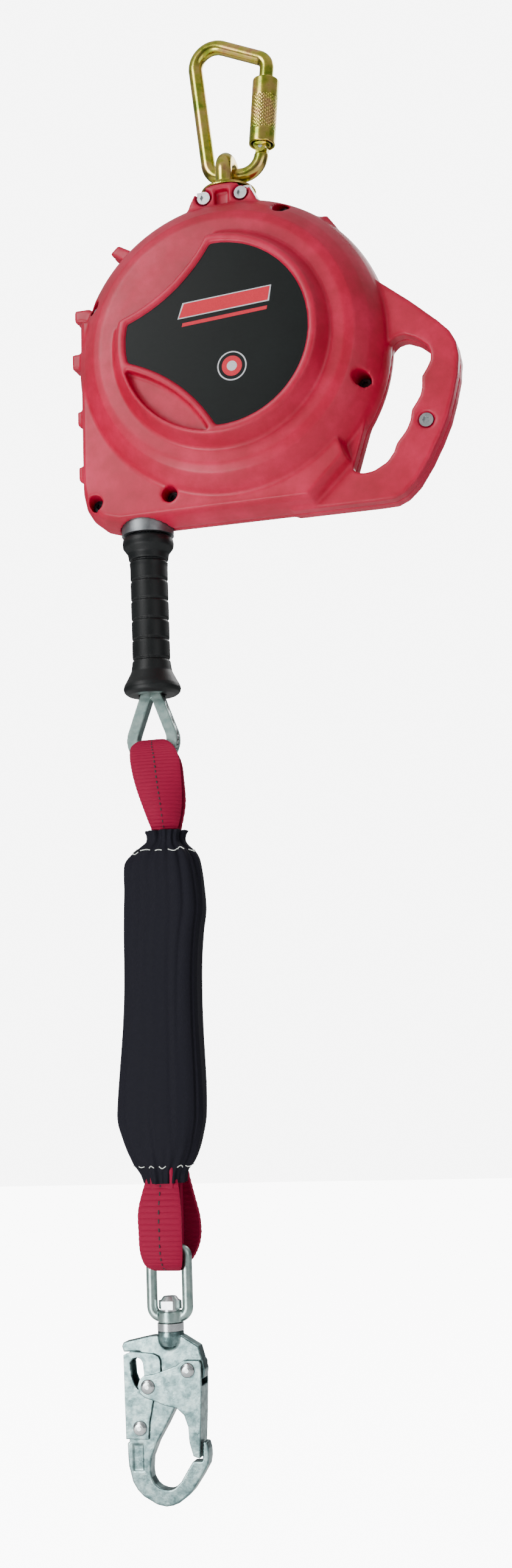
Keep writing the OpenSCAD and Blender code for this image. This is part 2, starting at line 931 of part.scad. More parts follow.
module rope_eye() {
  color([0.6, 0.62, 0.63]) {
    re = thimble_r + 1.45;
    translate([nx, 0, bow_z])
      rotate([90, 0, 0])
        rotate([0, 0, 180 - tilt])
          rotate_extrude(angle = 180 + 2 * tilt)
            translate([re, 0])
              circle(r = rope_r);
    for (s = [-1, 1]) {
      p = leg_at(re, 0);
      q = leg_at(re, 33.4);
      rod2([nx + s * p[0], bow_z + p[1]], [nx + s * q[0], bow_z + q[1]], rope_r);
      knuckle([nx + s * p[0], bow_z + p[1]], rope_r);
    }
  }
}

// ---- shock pack ----
module strap_side(pts, y0) {
  plate(y0, y0 + web_t)
    polygon(pts);
}
uz = bow_z - thimble_r;
arch_w = 5.4;
// inner radius of the loop, clear of the thimble's corners as the pack swings
loop_in = norm([th_half, thimble_r - sqrt(pow(thimble_r - th_w / 2, 2) - pow(arch_w, 2))]) + soft;
upper_pts = [[nx - arch_w, uz + 0.5], [nx - arch_w, uz - 4], [-82.5, uz - 7.5], [-81.4, -529],
  [-75.2, -546], [-71.9, -560], [-71.5, -572], [-71.5, -595.5], [-56, -595.5], [-56, -572],
  [-53.5, -563], [-49.4, -555], [-48, -542], [-48.4, -532], [-52, uz - 7.5],
  [nx + arch_w, uz - 4], [nx + arch_w, uz + 0.5]];
module upper_loop() {
  color([0.75, 0.1, 0.2]) {
    yi = loop_in;
    translate([nx - arch_w, 0, uz])
      rotate([90, 0, 90])
        rotate_extrude(angle = 180)
          translate([yi, 0])
            square([web_t * 2.2, 2 * arch_w]);
    for (s = [-1, 1]) {
      strap_side(upper_pts, s < 0 ? -yi - web_t : yi);
      translate([nx - arch_w, s < 0 ? -yi - web_t * 2.2 : yi + web_t - 0.1, uz - 18])
        cube([2 * arch_w, web_t * 1.2 + 0.1, 18.1]);
    }
  }
}
module lower_loop() {
  color([0.75, 0.1, 0.2]) {
    yi = rod_r + soft;
    yo = yi + web_t * 3.2;
    translate([nx - 8.3, 0, bail_top])
      rotate([90, 0, 90])
        rotate([0, 0, 180])
          rotate_extrude(angle = 180)
            translate([yi, 0])
              square([web_t * 3.2, 16.6]);
    for (s = [-1, 1])
      translate([nx - 8.3, s < 0 ? -yo : yi, bail_top - 0.1])
        cube([16.6, yo - yi, -786.5 - bail_top]);
    plate(-yo - 1.4, -yo + 1)
      polygon([[-85.6, -806], [-85.8, -840], [-84.4, -848], [nx - 8.3, bail_top + 2],
        [nx - 8.3, bail_top], [nx + 8.3, bail_top], [nx + 8.3, bail_top + 2], [-55.4, -848],
        [-55, -840], [-55.6, -806]]);
    plate(yo - 1, yo + 1.4)
      polygon([[-81, -806], [-82, -840], [-80, -848], [nx - 8.3, bail_top + 2],
        [nx - 8.3, bail_top], [nx + 8.3, bail_top], [nx + 8.3, bail_top + 2], [-50, -848],
        [-49, -840], [-52.2, -826], [-54, -806]]);
  }
}
cover_pts = [[-81.5, -572], [-82.5, -579], [-92, -585.7], [-98, -598.2], [-101.3, -623.6],
  [-103.9, -707.6], [-104.2, -769.6], [-100.7, -784.1], [-91.5, -794.5], [-84.5, -799.5],
  [-82, -806], [-56.6, -806], [-55, -798.5], [-42.9, -787.3], [-37.9, -771.2], [-35.8, -710.1],
  [-33, -627.3], [-33.2, -606.3], [-38.3, -590.1], [-47.7, -579.8], [-49, -572]];
module pack_cover() {
  color([0.05, 0.05, 0.06])
    difference() {
      union() {
        plate(-pack_half + 4, pack_half - 4)
          polygon([for (p = cover_pts) [nx + (p[0] - nx) * 0.9, p[1]]]);
        plate(-pack_half, pack_half)
          polygon([for (p = cover_pts) [nx + (p[0] - nx) * 0.8, -690 + (p[1] + 690) * 0.93]]);
      }
      translate([-88.4, -pack_half + 2.5, -792])
        cube([38.6, 2 * pack_half - 5, 206]);
      // mouths for the two loops
      translate([-71.5 - soft, -loop_in - web_t - soft, -600])
        cube([15.5 + 2 * soft, 2 * (loop_in + web_t + soft), 40]);
      translate([nx - 8.3 - soft, -rod_r - 2 * soft - 3.2 * web_t, -820])
        cube([16.6 + 2 * soft, 2 * (rod_r + 2 * soft + 3.2 * web_t), 40]);
    }
}
module tear_webbing() {
  // long webbing folded to and fro and stitched
  color([0.7, 0.12, 0.2])
    for (i = [0:6]) {
      translate([-86.4, -11.6 + i * 3.4, -786])
        cube([web_w, web_t, 190]);
      if (i < 6)
        translate([-86.4, -11.6 + i * 3.4, i % 2 == 0 ? -599 : -786])
          cube([web_w, 3.5, web_t]);
    }
}

// ---- swivel bail ----
ba = [nx - bail_w, bail_top];
bb = [nx + bail_w, bail_top];
bc = [nx + bail_w, -896];
bd = [nx - bail_w, -896];
module swivel_bail() {
  color([0.72, 0.75, 0.74])
    difference() {
      union() {
        rod2(tang(bb, ba, bd, 4.5), tang(ba, bb, bc, 4.5), rod_r);
        rod2(tang(bd, ba, bb, 4.5), tang(ba, bd, bc, 6.5), rod_r);
        rod2(tang(bc, bb, ba, 4.5), tang(bb, bc, bd, 6.5), rod_r);
        rod2(tang(bc, bd, ba, 6.5), tang(bd, bc, bb, 6.5), rod_r);
        bend(bd, ba, bb, 4.5, rod_r);
        bend(ba, bb, bc, 4.5, rod_r);
        bend(bb, bc, bd, 6.5, rod_r);
        bend(bc, bd, ba, 6.5, rod_r);
        translate([nx, 0, -899.9])
          cylinder(r = 8.2, h = 7.6);
      }
      translate([nx, 0, -910])
        cylinder(r = 5 + run, h = 30);
    }
}

// ---- snap hook ----
hook_pts = [[-77.5, -908], [-82.3, -908.2], [-101.3, -912.4], [-102.6, -915], [-101.3, -918.6],
  [-90, -918.4], [-86.8, -921], [-86.2, -936], [-92.5, -946], [-97, -958], [-98.9, -967],
  [-98.9, -976.8], [-100.3, -977.2], [-99.8, -991.2], [-97.1, -1002], [-93.8, -1007.2],
  [-89.7, -1011.1], [-80.5, -1016], [-74.1, -1017.2], [-69.6, -1016.4], [-65.2, -1014.7],
  [-60, -1011], [-55.6, -1006.7], [-49, -997.3], [-44.5, -989.9], [-43.6, -985], [-43.8, -979.9],
  [-45, -975.7], [-47.4, -975.5], [-48, -980.8], [-48.2, -987.7], [-55, -988.2], [-59, -994.1],
  [-63.5, -1001.2], [-68.3, -1005.5], [-71.5, -1006.6], [-74.6, -1006.5], [-78.4, -1005.4],
  [-81.4, -1003.2], [-83.8, -999.2], [-84.5, -994.7], [-83.8, -986.6], [-79.3, -976.4],
  [-72.5, -965.3], [-67.5, -956.3], [-62, -946], [-56, -937.5], [-50.6, -937],
  [-45.6, -934.9], [-44.6, -929.4], [-48.7, -914.6], [-60, -908]];
module hook_body() {
  color([0.6, 0.64, 0.64])
    difference() {
      union() {
        plate(-hook_half, hook_half)
          polygon(hook_pts);
        // round neck
        translate([nx, 0, 0])
          rotate_extrude()
            polygon([[0, -905], [8.7, -905], [8.9, -908], [8.6, -911.5], [7.4, -914.6],
              [5, -917], [0, -918.2]]);
      }
      translate([nx, 0, -914])
        cylinder(r = 5 + run, h = 20);
      at([gx, gz])
        ycyl(2.6 + run, -10, 10);
      at([lx, lz]) {
        ycyl(2.6 + run, -10, 10);
        // pockets for the lever's torsion springs
        ycyl(5, hook_half - 1.6, 10);
        ycyl(5, -10, -hook_half + 1.6);
      }
      // blank panels on the shank
      for (s = [-1, 1])
        translate([-96.4, s < 0 ? -hook_half - 1 : hook_half - 0.5, -995.2])
          cube([7.4, 1.5, 17.4]);
    }
}
module swivel_stud() {
  color([0.7, 0.72, 0.72])
    translate([nx, 0, 0]) {
      translate([0, 0, -913.9])
        cylinder(r = 5, h = 26);
      translate([0, 0, -892.2])
        cylinder(r = 6.6, h = 1.4);
      translate([0, 0, -890.9])
        cylinder(r = 8.1, h = 5.4, $fn = 6);
      translate([0, 0, -885.6])
        cylinder(r1 = 6.6, r2 = 4.4, h = 2.8);
      translate([0, 0, -904.9])
        difference() {
          cylinder(r = 8.8, h = 4.9);
          translate([0, 0, -1])
            cylinder(r = 5, h = 7);
        }
    }
}
gate_pts = [[-83.7, -932.9], [-80.6, -932.6], [-75.2, -930.9], [-63.1, -926.5], [-58.8, -923.3],
  [-47.6, -923.3], [-46.4, -925], [-46.4, -939], [-47.4, -960], [-49, -985.5], [-53.4, -984],
  [-55.9, -975.3], [-56.4, -965.7], [-59.1, -958.1], [-64, -953.9], [-72.4, -952.1], [-80.9, -949],
  [-86, -947.6], [-89.4, -945], [-91.2, -940.4], [-89.6, -936], [-87, -933.7]];
module hook_gate() {
  color([0.5, 0.56, 0.57])
    difference() {
      union() {
        for (s = [-1, 1])
          plate(s < 0 ? -gate_in - sheet_t : gate_in, s < 0 ? -gate_in : gate_in + sheet_t)
            polygon(gate_pts);
        plate(-gate_in - 0.1, gate_in + 0.1)
          polygon([[-46.4, -939.5], [-47.4, -960], [-49, -985.5], [-50.5, -985], [-48.9, -960],
            [-47.9, -939.5]]);
      }
      at([gx, gz])
        ycyl(2.6 + run, -20, 20);
      at([-83.7, -940.4])
        ycyl(2.3, -20, 20);
    }
}
module dome_head(r, h, y) {
  // round head standing out of the sheet on both sides
  for (s = [-1, 1])
    rotate([0, 0, s < 0 ? 180 : 0])
      translate([0, y, 0])
        spin_y()
          polygon([[0, 0], [r, 0], [r, h * 0.3], [r * 0.88, h * 0.62], [r * 0.62, h * 0.88],
            [r * 0.3, h], [0, h]]);
}
module gate_rivet() {
  color([0.75, 0.77, 0.76])
    at([gx, gz]) {
      y = gate_in + sheet_t + 0.05;
      ycyl(2.6, -y, y);
      dome_head(4.8, 2.4, y);
    }
}
module ear_rivets() {
  color([0.75, 0.77, 0.76])
    at([-83.7, -940.4]) {
      y = gate_in + sheet_t;
      for (s = [-1, 1])
        ycyl(2.25, s < 0 ? -y : gate_in, s < 0 ? -gate_in : y);
      dome_head(4.8, 2.4, y);
    }
}
module hook_gate_spring() {
  color([0.6, 0.6, 0.62])
    at([gx, gz])
      for (s = [-1, 1])
        translate([0, s * (hook_half + gate_in) / 2, 0])
          rotate([90, 0, 0])
            rotate_extrude()
              translate([3.6, 0])
                circle(r = (gate_in - hook_half) / 2 - 0.1, $fn = 24);
}
lever_pts = [[-101.1, -920.4], [-98, -919], [-91.6, -918.4], [-80, -919.4], [-76.4, -921],
  [-75.1, -923.9], [-74.9, -930.9], [-80.5, -948.5], [-83.9, -964.1], [-84.7, -974.6],
  [-88, -974.6], [-100.6, -974.6]];
module hook_lever() {
  color([0.5, 0.56, 0.57])
    difference() {
      union() {
        for (s = [-1, 1])
          plate(s < 0 ? -lever_in - sheet_t : lever_in, s < 0 ? -lever_in : lever_in + sheet_t)
            polygon(lever_pts);
        plate(-lever_in - 0.1, lever_in + 0.1)
          polygon([[-101.1, -921.5], [-100.6, -974.6], [-99.3, -974.6], [-99.7, -921.5]]);
      }
      plate(-20, 20)
        polygon([[-96.4, -925.3], [-94.4, -922.8], [-91.7, -922], [-89, -922.8], [-87.5, -925.2],
          [-86.7, -933], [-88.4, -938.2], [-91, -942.8], [-93.6, -939.4], [-95.7, -933.9]]);
      at([lx, lz])
        ycyl(2.6 + run, -20, 20);
    }
}
module lever_rivet() {
  color([0.75, 0.77, 0.76])
    at([lx, lz]) {
      y = lever_in + sheet_t + 0.05;
      ycyl(2.6, -y, y);
      dome_head(4.8, 2.4, y);
    }
}
module lever_spring() {
  color([0.6, 0.6, 0.62])
    at([lx, lz])
      for (s = [-1, 1])
        translate([0, s * (hook_half - 0.8), 0])
          rotate([90, 0, 0])
            rotate_extrude()
              translate([3.6, 0])
                circle(r = 0.7, $fn = 24);
}

carabiner_body();
carabiner_gate();
gate_pin();
gate_spring();
locking_sleeve();
sleeve_spring();
swivel_eye();
thrust_washer();
swivel_nut();
swivel_cotter();
front_shell();
rear_shell();
label_plate();
yoke();
neck_screws();
neck_nuts();
case_screws();
handle_screw();
main_shaft();
shaft_clips();
nozzle_collar();
nozzle_bush();
drum_core();
drum_flanges();
drum_bushes();
rope_coil();
rope_clamp();
spring_case();
spring_cover();
mainspring();
spring_arbor();
pawl_pins();
pawl_a();
pawl_b();
pawl_springs();
brake_ring();
brake_linings();
pressure_plates();
disc_spring();
brake_cover();
brake_studs();
rope_run();
ferrule();
grip();
thimble();
rope_eye();
upper_loop();
tear_webbing();
pack_cover();
lower_loop();
swivel_bail();
hook_body();
swivel_stud();
hook_gate();
gate_rivet();
ear_rivets();
hook_gate_spring();
hook_lever();
lever_rivet();
lever_spring();
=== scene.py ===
"""Self retracting lifeline: moulded housing, locking carabiner, grip, shock pack and snap hook."""
import json
import math

import bmesh
import bpy
from mathutils import Matrix, Vector


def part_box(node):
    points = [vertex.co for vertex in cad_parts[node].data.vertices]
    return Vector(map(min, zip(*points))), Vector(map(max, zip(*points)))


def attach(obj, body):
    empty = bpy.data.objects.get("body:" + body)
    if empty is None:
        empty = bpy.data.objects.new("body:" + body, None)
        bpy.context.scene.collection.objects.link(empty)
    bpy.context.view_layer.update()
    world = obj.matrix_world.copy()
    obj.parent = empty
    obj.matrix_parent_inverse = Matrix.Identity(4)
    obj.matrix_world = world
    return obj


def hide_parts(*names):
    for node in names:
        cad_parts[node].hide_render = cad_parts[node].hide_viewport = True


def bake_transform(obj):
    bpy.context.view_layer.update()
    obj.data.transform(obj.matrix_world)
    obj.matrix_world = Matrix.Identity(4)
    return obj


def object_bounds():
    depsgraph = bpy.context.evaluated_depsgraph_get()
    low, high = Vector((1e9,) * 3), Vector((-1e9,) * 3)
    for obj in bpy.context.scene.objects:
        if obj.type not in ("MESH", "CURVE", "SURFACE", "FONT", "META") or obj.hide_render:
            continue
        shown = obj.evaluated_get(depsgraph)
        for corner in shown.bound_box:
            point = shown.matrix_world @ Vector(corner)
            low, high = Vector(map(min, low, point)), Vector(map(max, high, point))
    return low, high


MM = 0.001
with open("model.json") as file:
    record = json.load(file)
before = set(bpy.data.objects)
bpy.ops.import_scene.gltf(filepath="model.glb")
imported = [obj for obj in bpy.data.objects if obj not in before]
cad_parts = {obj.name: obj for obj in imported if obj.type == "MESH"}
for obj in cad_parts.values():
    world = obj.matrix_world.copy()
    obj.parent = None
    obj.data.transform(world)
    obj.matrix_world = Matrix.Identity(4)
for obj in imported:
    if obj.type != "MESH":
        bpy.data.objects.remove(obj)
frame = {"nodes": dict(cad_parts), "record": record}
CAD_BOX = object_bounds()

# driving places, read from the frame
HANG_X = sum(v.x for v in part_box("thimble")) / 2
DRUM_Z = sum(v.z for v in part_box("drum_core")) / 2
LABEL_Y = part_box("label_plate")[0].y


# ---------------------------------------------------------------- node helpers
def new_material(name):
    material = bpy.data.materials.new(name)
    material.use_nodes = True
    nodes = material.node_tree.nodes
    return material, nodes, material.node_tree.links, nodes["Principled BSDF"]


def noise(nodes, links, source, scale, detail=4.0, rough=0.55, stretch=None):
    texture = nodes.new("ShaderNodeTexNoise")
    texture.inputs["Scale"].default_value = scale
    texture.inputs["Detail"].default_value = detail
    texture.inputs["Roughness"].default_value = rough
    if stretch:
        mapping = nodes.new("ShaderNodeMapping")
        mapping.inputs["Scale"].default_value = stretch
        links.new(source, mapping.inputs["Vector"])
        source = mapping.outputs["Vector"]
    links.new(source, texture.inputs["Vector"])
    return texture.outputs["Fac"]


def ramp(nodes, links, source, stops):
    node = nodes.new("ShaderNodeValToRGB")
    elements = node.color_ramp.elements
    while len(elements) < len(stops):
        elements.new(0.5)
    for element, (place, colour) in zip(elements, stops):
        element.position = place
        element.color = (*colour, 1)
    links.new(source, node.inputs["Fac"])
    return node.outputs["Color"]


def spread(nodes, links, source, low, high):
    node = nodes.new("ShaderNodeMapRange")
    node.inputs["To Min"].default_value = low
    node.inputs["To Max"].default_value = high
    links.new(source, node.inputs["Value"])
    return node.outputs["Result"]


def bump(nodes, links, shader, height, distance, strength=1.0):
    node = nodes.new("ShaderNodeBump")
    node.inputs["Distance"].default_value = distance
    node.inputs["Strength"].default_value = strength
    links.new(height, node.inputs["Height"])
    links.new(node.outputs["Normal"], shader.inputs["Normal"])


def place_of(nodes):
    return nodes.new("ShaderNodeTexCoord").outputs["Object"]


def cloth_place_of(nodes):
    return nodes.new("ShaderNodeTexCoord").outputs["UV"]


# ---------------------------------------------------------------- materials
def moulded_nylon(name, dark, mid, light, rough=(0.36, 0.52)):
    """Glass-filled nylon: soft clouds of tone and a fine leathery grain."""
    material, nodes, links, shader = new_material(name)
    place = place_of(nodes)
    cloud = noise(nodes, links, place, 26, 8, 0.68)
    colour = ramp(nodes, links, cloud, [(0.30, dark), (0.50, mid), (0.70, light)])
    links.new(colour, shader.inputs["Base Color"])
    haze = noise(nodes, links, place, 120, 5, 0.6)
    links.new(spread(nodes, links, haze, *rough), shader.inputs["Roughness"])
    grain = noise(nodes, links, place, 1500, 3, 0.6)
    bump(nodes, links, shader, grain, 0.00006, 0.6)
    shader.inputs["Specular IOR Level"].default_value = 0.42
    return material


def plated(name, tones, rough, grain_scale=420, grain=0.00004, cloud_scale=60, metallic=1.0):
    """Zinc plate: slow drift of tone, cloudy roughness and a fine peened grain."""
    material, nodes, links, shader = new_material(name)
    place = place_of(nodes)
    drift = noise(nodes, links, place, cloud_scale, 6, 0.62)
    step = 0.28 / max(1, len(tones) - 1)
    stops = [(0.36 + i * step, tone) for i, tone in enumerate(tones)]
    links.new(ramp(nodes, links, drift, stops), shader.inputs["Base Color"])
    haze = noise(nodes, links, place, grain_scale / 3, 6, 0.65)
    links.new(spread(nodes, links, haze, *rough), shader.inputs["Roughness"])
    grain_height = noise(nodes, links, place, grain_scale, 5, 0.6)
    bump(nodes, links, shader, grain_height, grain, 0.7)
    shader.inputs["Metallic"].default_value = metallic
    return material


def rubber(name, tone):
    material, nodes, links, shader = new_material(name)
    place = place_of(nodes)
    cloud = noise(nodes, links, place, 55, 5, 0.6)
    pale = tuple(min(1, c * 1.9 + 0.001) for c in tone)
    links.new(ramp(nodes, links, cloud, [(0.3, tone), (0.75, pale)]), shader.inputs["Base Color"])
    links.new(spread(nodes, links, cloud, 0.38, 0.58), shader.inputs["Roughness"])
    bump(nodes, links, shader, noise(nodes, links, place, 2200, 3), 0.00004, 0.5)
    shader.inputs["Specular IOR Level"].default_value = 0.3
    return material


def printed_film(name):
    """Satin label film with a slow drift of tone."""
    material, nodes, links, shader = new_material(name)
    place = place_of(nodes)
    cloud = noise(nodes, links, place, 34, 6, 0.6)
    stops = [(0.3, (0.0010, 0.0022, 0.0020)), (0.75, (0.0022, 0.0044, 0.0040))]
    links.new(ramp(nodes, links, cloud, stops), shader.inputs["Base Color"])
    links.new(spread(nodes, links, cloud, 0.34, 0.46), shader.inputs["Roughness"])
    bump(nodes, links, shader, noise(nodes, links, place, 900, 2), 0.00002, 0.5)
    shader.inputs["Specular IOR Level"].default_value = 0.16
    return material


# wave texture scale that gives one band for each unit of its vector
ONE_BAND = 0.31416


def ribbed_webbing(name, pitch, length):
    """Weft ribs run across the strap; U is across it and V along it, from 0 to 1."""
    material, nodes, links, shader = new_material(name)
    place = cloth_place_of(nodes)
    mapping = nodes.new("ShaderNodeMapping")
    mapping.inputs["Scale"].default_value = (1, length / pitch, 1)
    links.new(place, mapping.inputs["Vector"])
    wobble = noise(nodes, links, place, 7, 2)
    rib = nodes.new("ShaderNodeTexWave")
    rib.wave_type = "BANDS"
    rib.bands_direction = "Y"
    rib.wave_profile = "SIN"
    rib.inputs["Scale"].default_value = ONE_BAND
    rib.inputs["Distortion"].default_value = 0.35
    rib.inputs["Detail"].default_value = 1.0
    links.new(mapping.outputs["Vector"], rib.inputs["Vector"])
    height = rib.outputs["Fac"]
    # the tone follows rib height: painted shade in the grooves between ribs and painted highlight on the
    # rib crowns
    stops = [(0.05, (0.24, 0.0, 0.028)), (0.35, (0.85, 0.0, 0.110)), (0.85, (1.0, 0.010, 0.19))]
    tone = ramp(nodes, links, height, stops)
    thread = noise(nodes, links, place, 900, 2, 0.5, (1, 0.12, 1))
    mix = nodes.new("ShaderNodeMix")
    mix.data_type = "RGBA"
    mix.blend_type = "MULTIPLY"
    mix.inputs["Factor"].default_value = 0.35
    links.new(tone, mix.inputs["A"])
    links.new(ramp(nodes, links, thread, [(0.3, (0.7, 0.65, 0.65)), (0.7, (1, 1, 1))]), mix.inputs["B"])
    links.new(mix.outputs["Result"], shader.inputs["Base Color"])
    links.new(spread(nodes, links, wobble, 0.62, 0.78), shader.inputs["Roughness"])
    bump(nodes, links, shader, height, 0.00045, 0.9)
    shader.inputs["Specular IOR Level"].default_value = 0.2
    return material


def woven_cover(name, across, along, pitch):
    """Plain black weave: staggered thread crowns with a painted highlight, and painted shade between the
    threads.
    """
    material, nodes, links, shader = new_material(name)
    place = cloth_place_of(nodes)
    mapping = nodes.new("ShaderNodeMapping")
    mapping.inputs["Scale"].default_value = (across / pitch, along / pitch, 1)
    links.new(place, mapping.inputs["Vector"])
    weave = nodes.new("ShaderNodeTexVoronoi")
    weave.feature = "F1"
    weave.inputs["Scale"].default_value = 1.0
    weave.inputs["Randomness"].default_value = 0.12
    links.new(mapping.outputs["Vector"], weave.inputs["Vector"])
    crown = weave.outputs["Distance"]
    # painted highlight on the thread crowns, falling to painted shade in the gaps between threads
    stops = [(0.05, (0.0110, 0.0110, 0.0170)), (0.26, (0.0016, 0.0016, 0.0032)),
             (0.60, (0.0006, 0.0006, 0.0013))]
    links.new(ramp(nodes, links, crown, stops), shader.inputs["Base Color"])
    cloud = noise(nodes, links, place, 9, 4)
    links.new(spread(nodes, links, cloud, 0.66, 0.84), shader.inputs["Roughness"])
    bump(nodes, links, shader, crown, -0.0003, 0.8)
    shader.inputs["Specular IOR Level"].default_value = 0.10
    return material


def thread(name, tone):
    material, nodes, links, shader = new_material(name)
    place = place_of(nodes)
    twist = noise(nodes, links, place, 3000, 2)
    pale = tuple(min(1, c * 1.35 + 0.01) for c in tone)
    links.new(ramp(nodes, links, twist, [(0.3, tone), (0.7, pale)]), shader.inputs["Base Color"])
    bump(nodes, links, shader, twist, 0.0001, 0.8)
    shader.inputs["Roughness"].default_value = 0.7
    return material


def stranded_rope(name):
    material, nodes, links, shader = new_material(name)
    place = place_of(nodes)
    mapping = nodes.new("ShaderNodeMapping")
    mapping.inputs["Rotation"].default_value = (0.5, 0.3, 0.6)
    links.new(place, mapping.inputs["Vector"])
    lay = nodes.new("ShaderNodeTexWave")
    lay.inputs["Scale"].default_value = 160
    lay.inputs["Distortion"].default_value = 0.6
    links.new(mapping.outputs["Vector"], lay.inputs["Vector"])
    # painted shade in the grooves between strands and painted highlight on the strand crowns, following the
    # lay pattern
    stops = [(0.1, (0.12, 0.12, 0.12)), (0.7, (0.52, 0.54, 0.54))]
    links.new(ramp(nodes, links, lay.outputs["Fac"], stops), shader.inputs["Base Color"])
    links.new(spread(nodes, links, lay.outputs["Fac"], 0.55, 0.32), shader.inputs["Roughness"])
    bump(nodes, links, shader, lay.outputs["Fac"], 0.0004)
    shader.inputs["Metallic"].default_value = 1.0
    return material


def drab(name, tones, rough, metallic=0.0):
    return plated(name, tones, rough, 300, 0.00003, 80, metallic)


# lengths of the two straps and the ribs woven along each
STRAP_LONG, STRAP_RIBS = 0.19, 76
LOOP_LONG, LOOP_RIBS = 0.135, 54
FINISH = {
    "red_housing": moulded_nylon("red_nylon", (0.30, 0.0, 0.016), (0.40, 0.0, 0.028), (0.52, 0.004, 0.048)),
    "black_label": printed_film("label_film"),
    "yellow_zinc": plated("yellow_zinc_plate", [(0.22, 0.30, 0.03), (0.46, 0.42, 0.06),
                                                (0.60, 0.44, 0.12), (0.52, 0.28, 0.12)], (0.14, 0.32)),
    "grey_zinc": plated("grey_zinc_plate", [(0.08, 0.13, 0.13), (0.16, 0.24, 0.24), (0.27, 0.37, 0.36)],
                        (0.20, 0.40), 600, 0.00012, 170),
    "bright_steel": plated("bright_plate", [(0.42, 0.45, 0.46), (0.62, 0.65, 0.65)], (0.18, 0.34)),
    "spring_steel": drab("spring_steel", [(0.20, 0.21, 0.22), (0.34, 0.35, 0.37)], (0.3, 0.45), 1.0),
    "frame_steel": drab("frame_steel", [(0.40, 0.42, 0.44), (0.56, 0.58, 0.60)], (0.32, 0.5), 1.0),
    "dull_steel": drab("dull_steel", [(0.16, 0.17, 0.18), (0.27, 0.29, 0.30)], (0.38, 0.55), 1.0),
    "bronze": drab("sintered_bronze", [(0.42, 0.27, 0.11), (0.58, 0.40, 0.18)], (0.4, 0.6), 1.0),
    "white_plastic": drab("acetal", [(0.70, 0.70, 0.66), (0.80, 0.80, 0.76)], (0.4, 0.5)),
    "dark_plastic": drab("dark_nylon", [(0.015, 0.015, 0.017), (0.035, 0.035, 0.038)], (0.45, 0.6)),
    "lining": drab("friction_lining", [(0.10, 0.07, 0.045), (0.20, 0.14, 0.09)], (0.7, 0.9)),
    "wire_rope": stranded_rope("galvanised_rope"),
    "black_rubber": rubber("grip_rubber", (0.0007, 0.0015, 0.0017)),
    "red_webbing": ribbed_webbing("red_webbing", STRAP_LONG / STRAP_RIBS, STRAP_LONG),
    "black_fabric": woven_cover("black_weave", 0.19, 0.234, 0.0019),
}
LOWER_WEBBING = ribbed_webbing("red_webbing_lower", LOOP_LONG / LOOP_RIBS, LOOP_LONG)
WHITE_THREAD = thread("white_thread", (0.62, 0.66, 0.60))
PALE_ZINC = plated("pale_zinc_plate", [(0.22, 0.32, 0.30), (0.36, 0.46, 0.43)],
                   (0.22, 0.42), 600, 0.00008, 170)
DARK_SCREW = drab("blackened_screw", [(0.02, 0.02, 0.022), (0.07, 0.07, 0.075)], (0.3, 0.45), 1.0)
RED_INK = thread("red_ink", (0.46, 0.0, 0.016))
PALE_INK = thread("pale_ink", (0.42, 0.42, 0.44))
BLACK_THREAD = thread("black_thread", (0.012, 0.010, 0.012))


# ---------------------------------------------------------------- mesh helpers
def finish_piece(name, bm, slot, body, material=None, smooth=True):
    mesh = bpy.data.meshes.new(name)
    bm.to_mesh(mesh)
    bm.free()
    for polygon in mesh.polygons:
        polygon.use_smooth = smooth
    mesh.materials.append(material or FINISH[slot])
    piece = bpy.data.objects.new(name, mesh)
    bpy.context.scene.collection.objects.link(piece)
    if body:
        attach(piece, body)
    return piece


def settle(piece):
    """Applies every modifier on a piece."""
    bpy.context.view_layer.update()
    graph = bpy.context.evaluated_depsgraph_get()
    mesh = bpy.data.meshes.new_from_object(piece.evaluated_get(graph))
    piece.modifiers.clear()
    piece.data = mesh
    return piece


def softened(node, slot, body, voxel, rounds, factor=0.5, keep=None):
    """A copy of a CAD node with its edges rounded as a mould or a forging die leaves them."""
    bm = bmesh.new()
    bm.from_mesh(frame["nodes"][node].data)
    bmesh.ops.remove_doubles(bm, verts=bm.verts[:], dist=1e-6)
    piece = finish_piece(node + "_skin", bm, slot, None)
    remesh = piece.modifiers.new("remesh", "REMESH")
    remesh.mode = "VOXEL"
    remesh.voxel_size = voxel
    remesh.use_smooth_shade = True
    relax = piece.modifiers.new("relax", "SMOOTH")
    relax.iterations = rounds
    relax.factor = factor
    if keep:
        thin = piece.modifiers.new("thin", "DECIMATE")
        thin.ratio = keep
    settle(piece)
    for polygon in piece.data.polygons:
        polygon.use_smooth = True
    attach(piece, body)
    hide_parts(node)
    return piece


def mix(a, b, t):
    return a + (b - a) * t


def along(rows, t):
    """Smoothly read a table of rows at t from 0 to 1."""
    place = max(0.0, min(0.999999, t)) * (len(rows) - 1)
    i = int(place)
    f = place - i
    rows_near = [rows[max(0, min(len(rows) - 1, i + k))] for k in (-1, 0, 1, 2)]
    return [0.5 * (2 * b + (c - a) * f + (2 * a - 5 * b + 4 * c - d) * f * f
                   + (3 * b - a - 3 * c + d) * f ** 3) for a, b, c, d in zip(*rows_near)]


def strap_point(rows, u, v):
    """Point on a strap's middle surface: u from -1 to 1 across it and v from 0 to 1 along it."""
    x, y, z, half, cup, lean = along(rows, v)
    return Vector((x + half * u, y + cup * (1 - u * u) + lean * u, z)) * MM


def strap_normal(rows, u, v):
    across = strap_point(rows, u + 0.02, v) - strap_point(rows, u - 0.02, v)
    onward = strap_point(rows, u, v + 0.004) - strap_point(rows, u, v - 0.004)
    return onward.cross(across).normalized()


# height of a rib above the groove beside it
RIB_HIGH = 0.00055


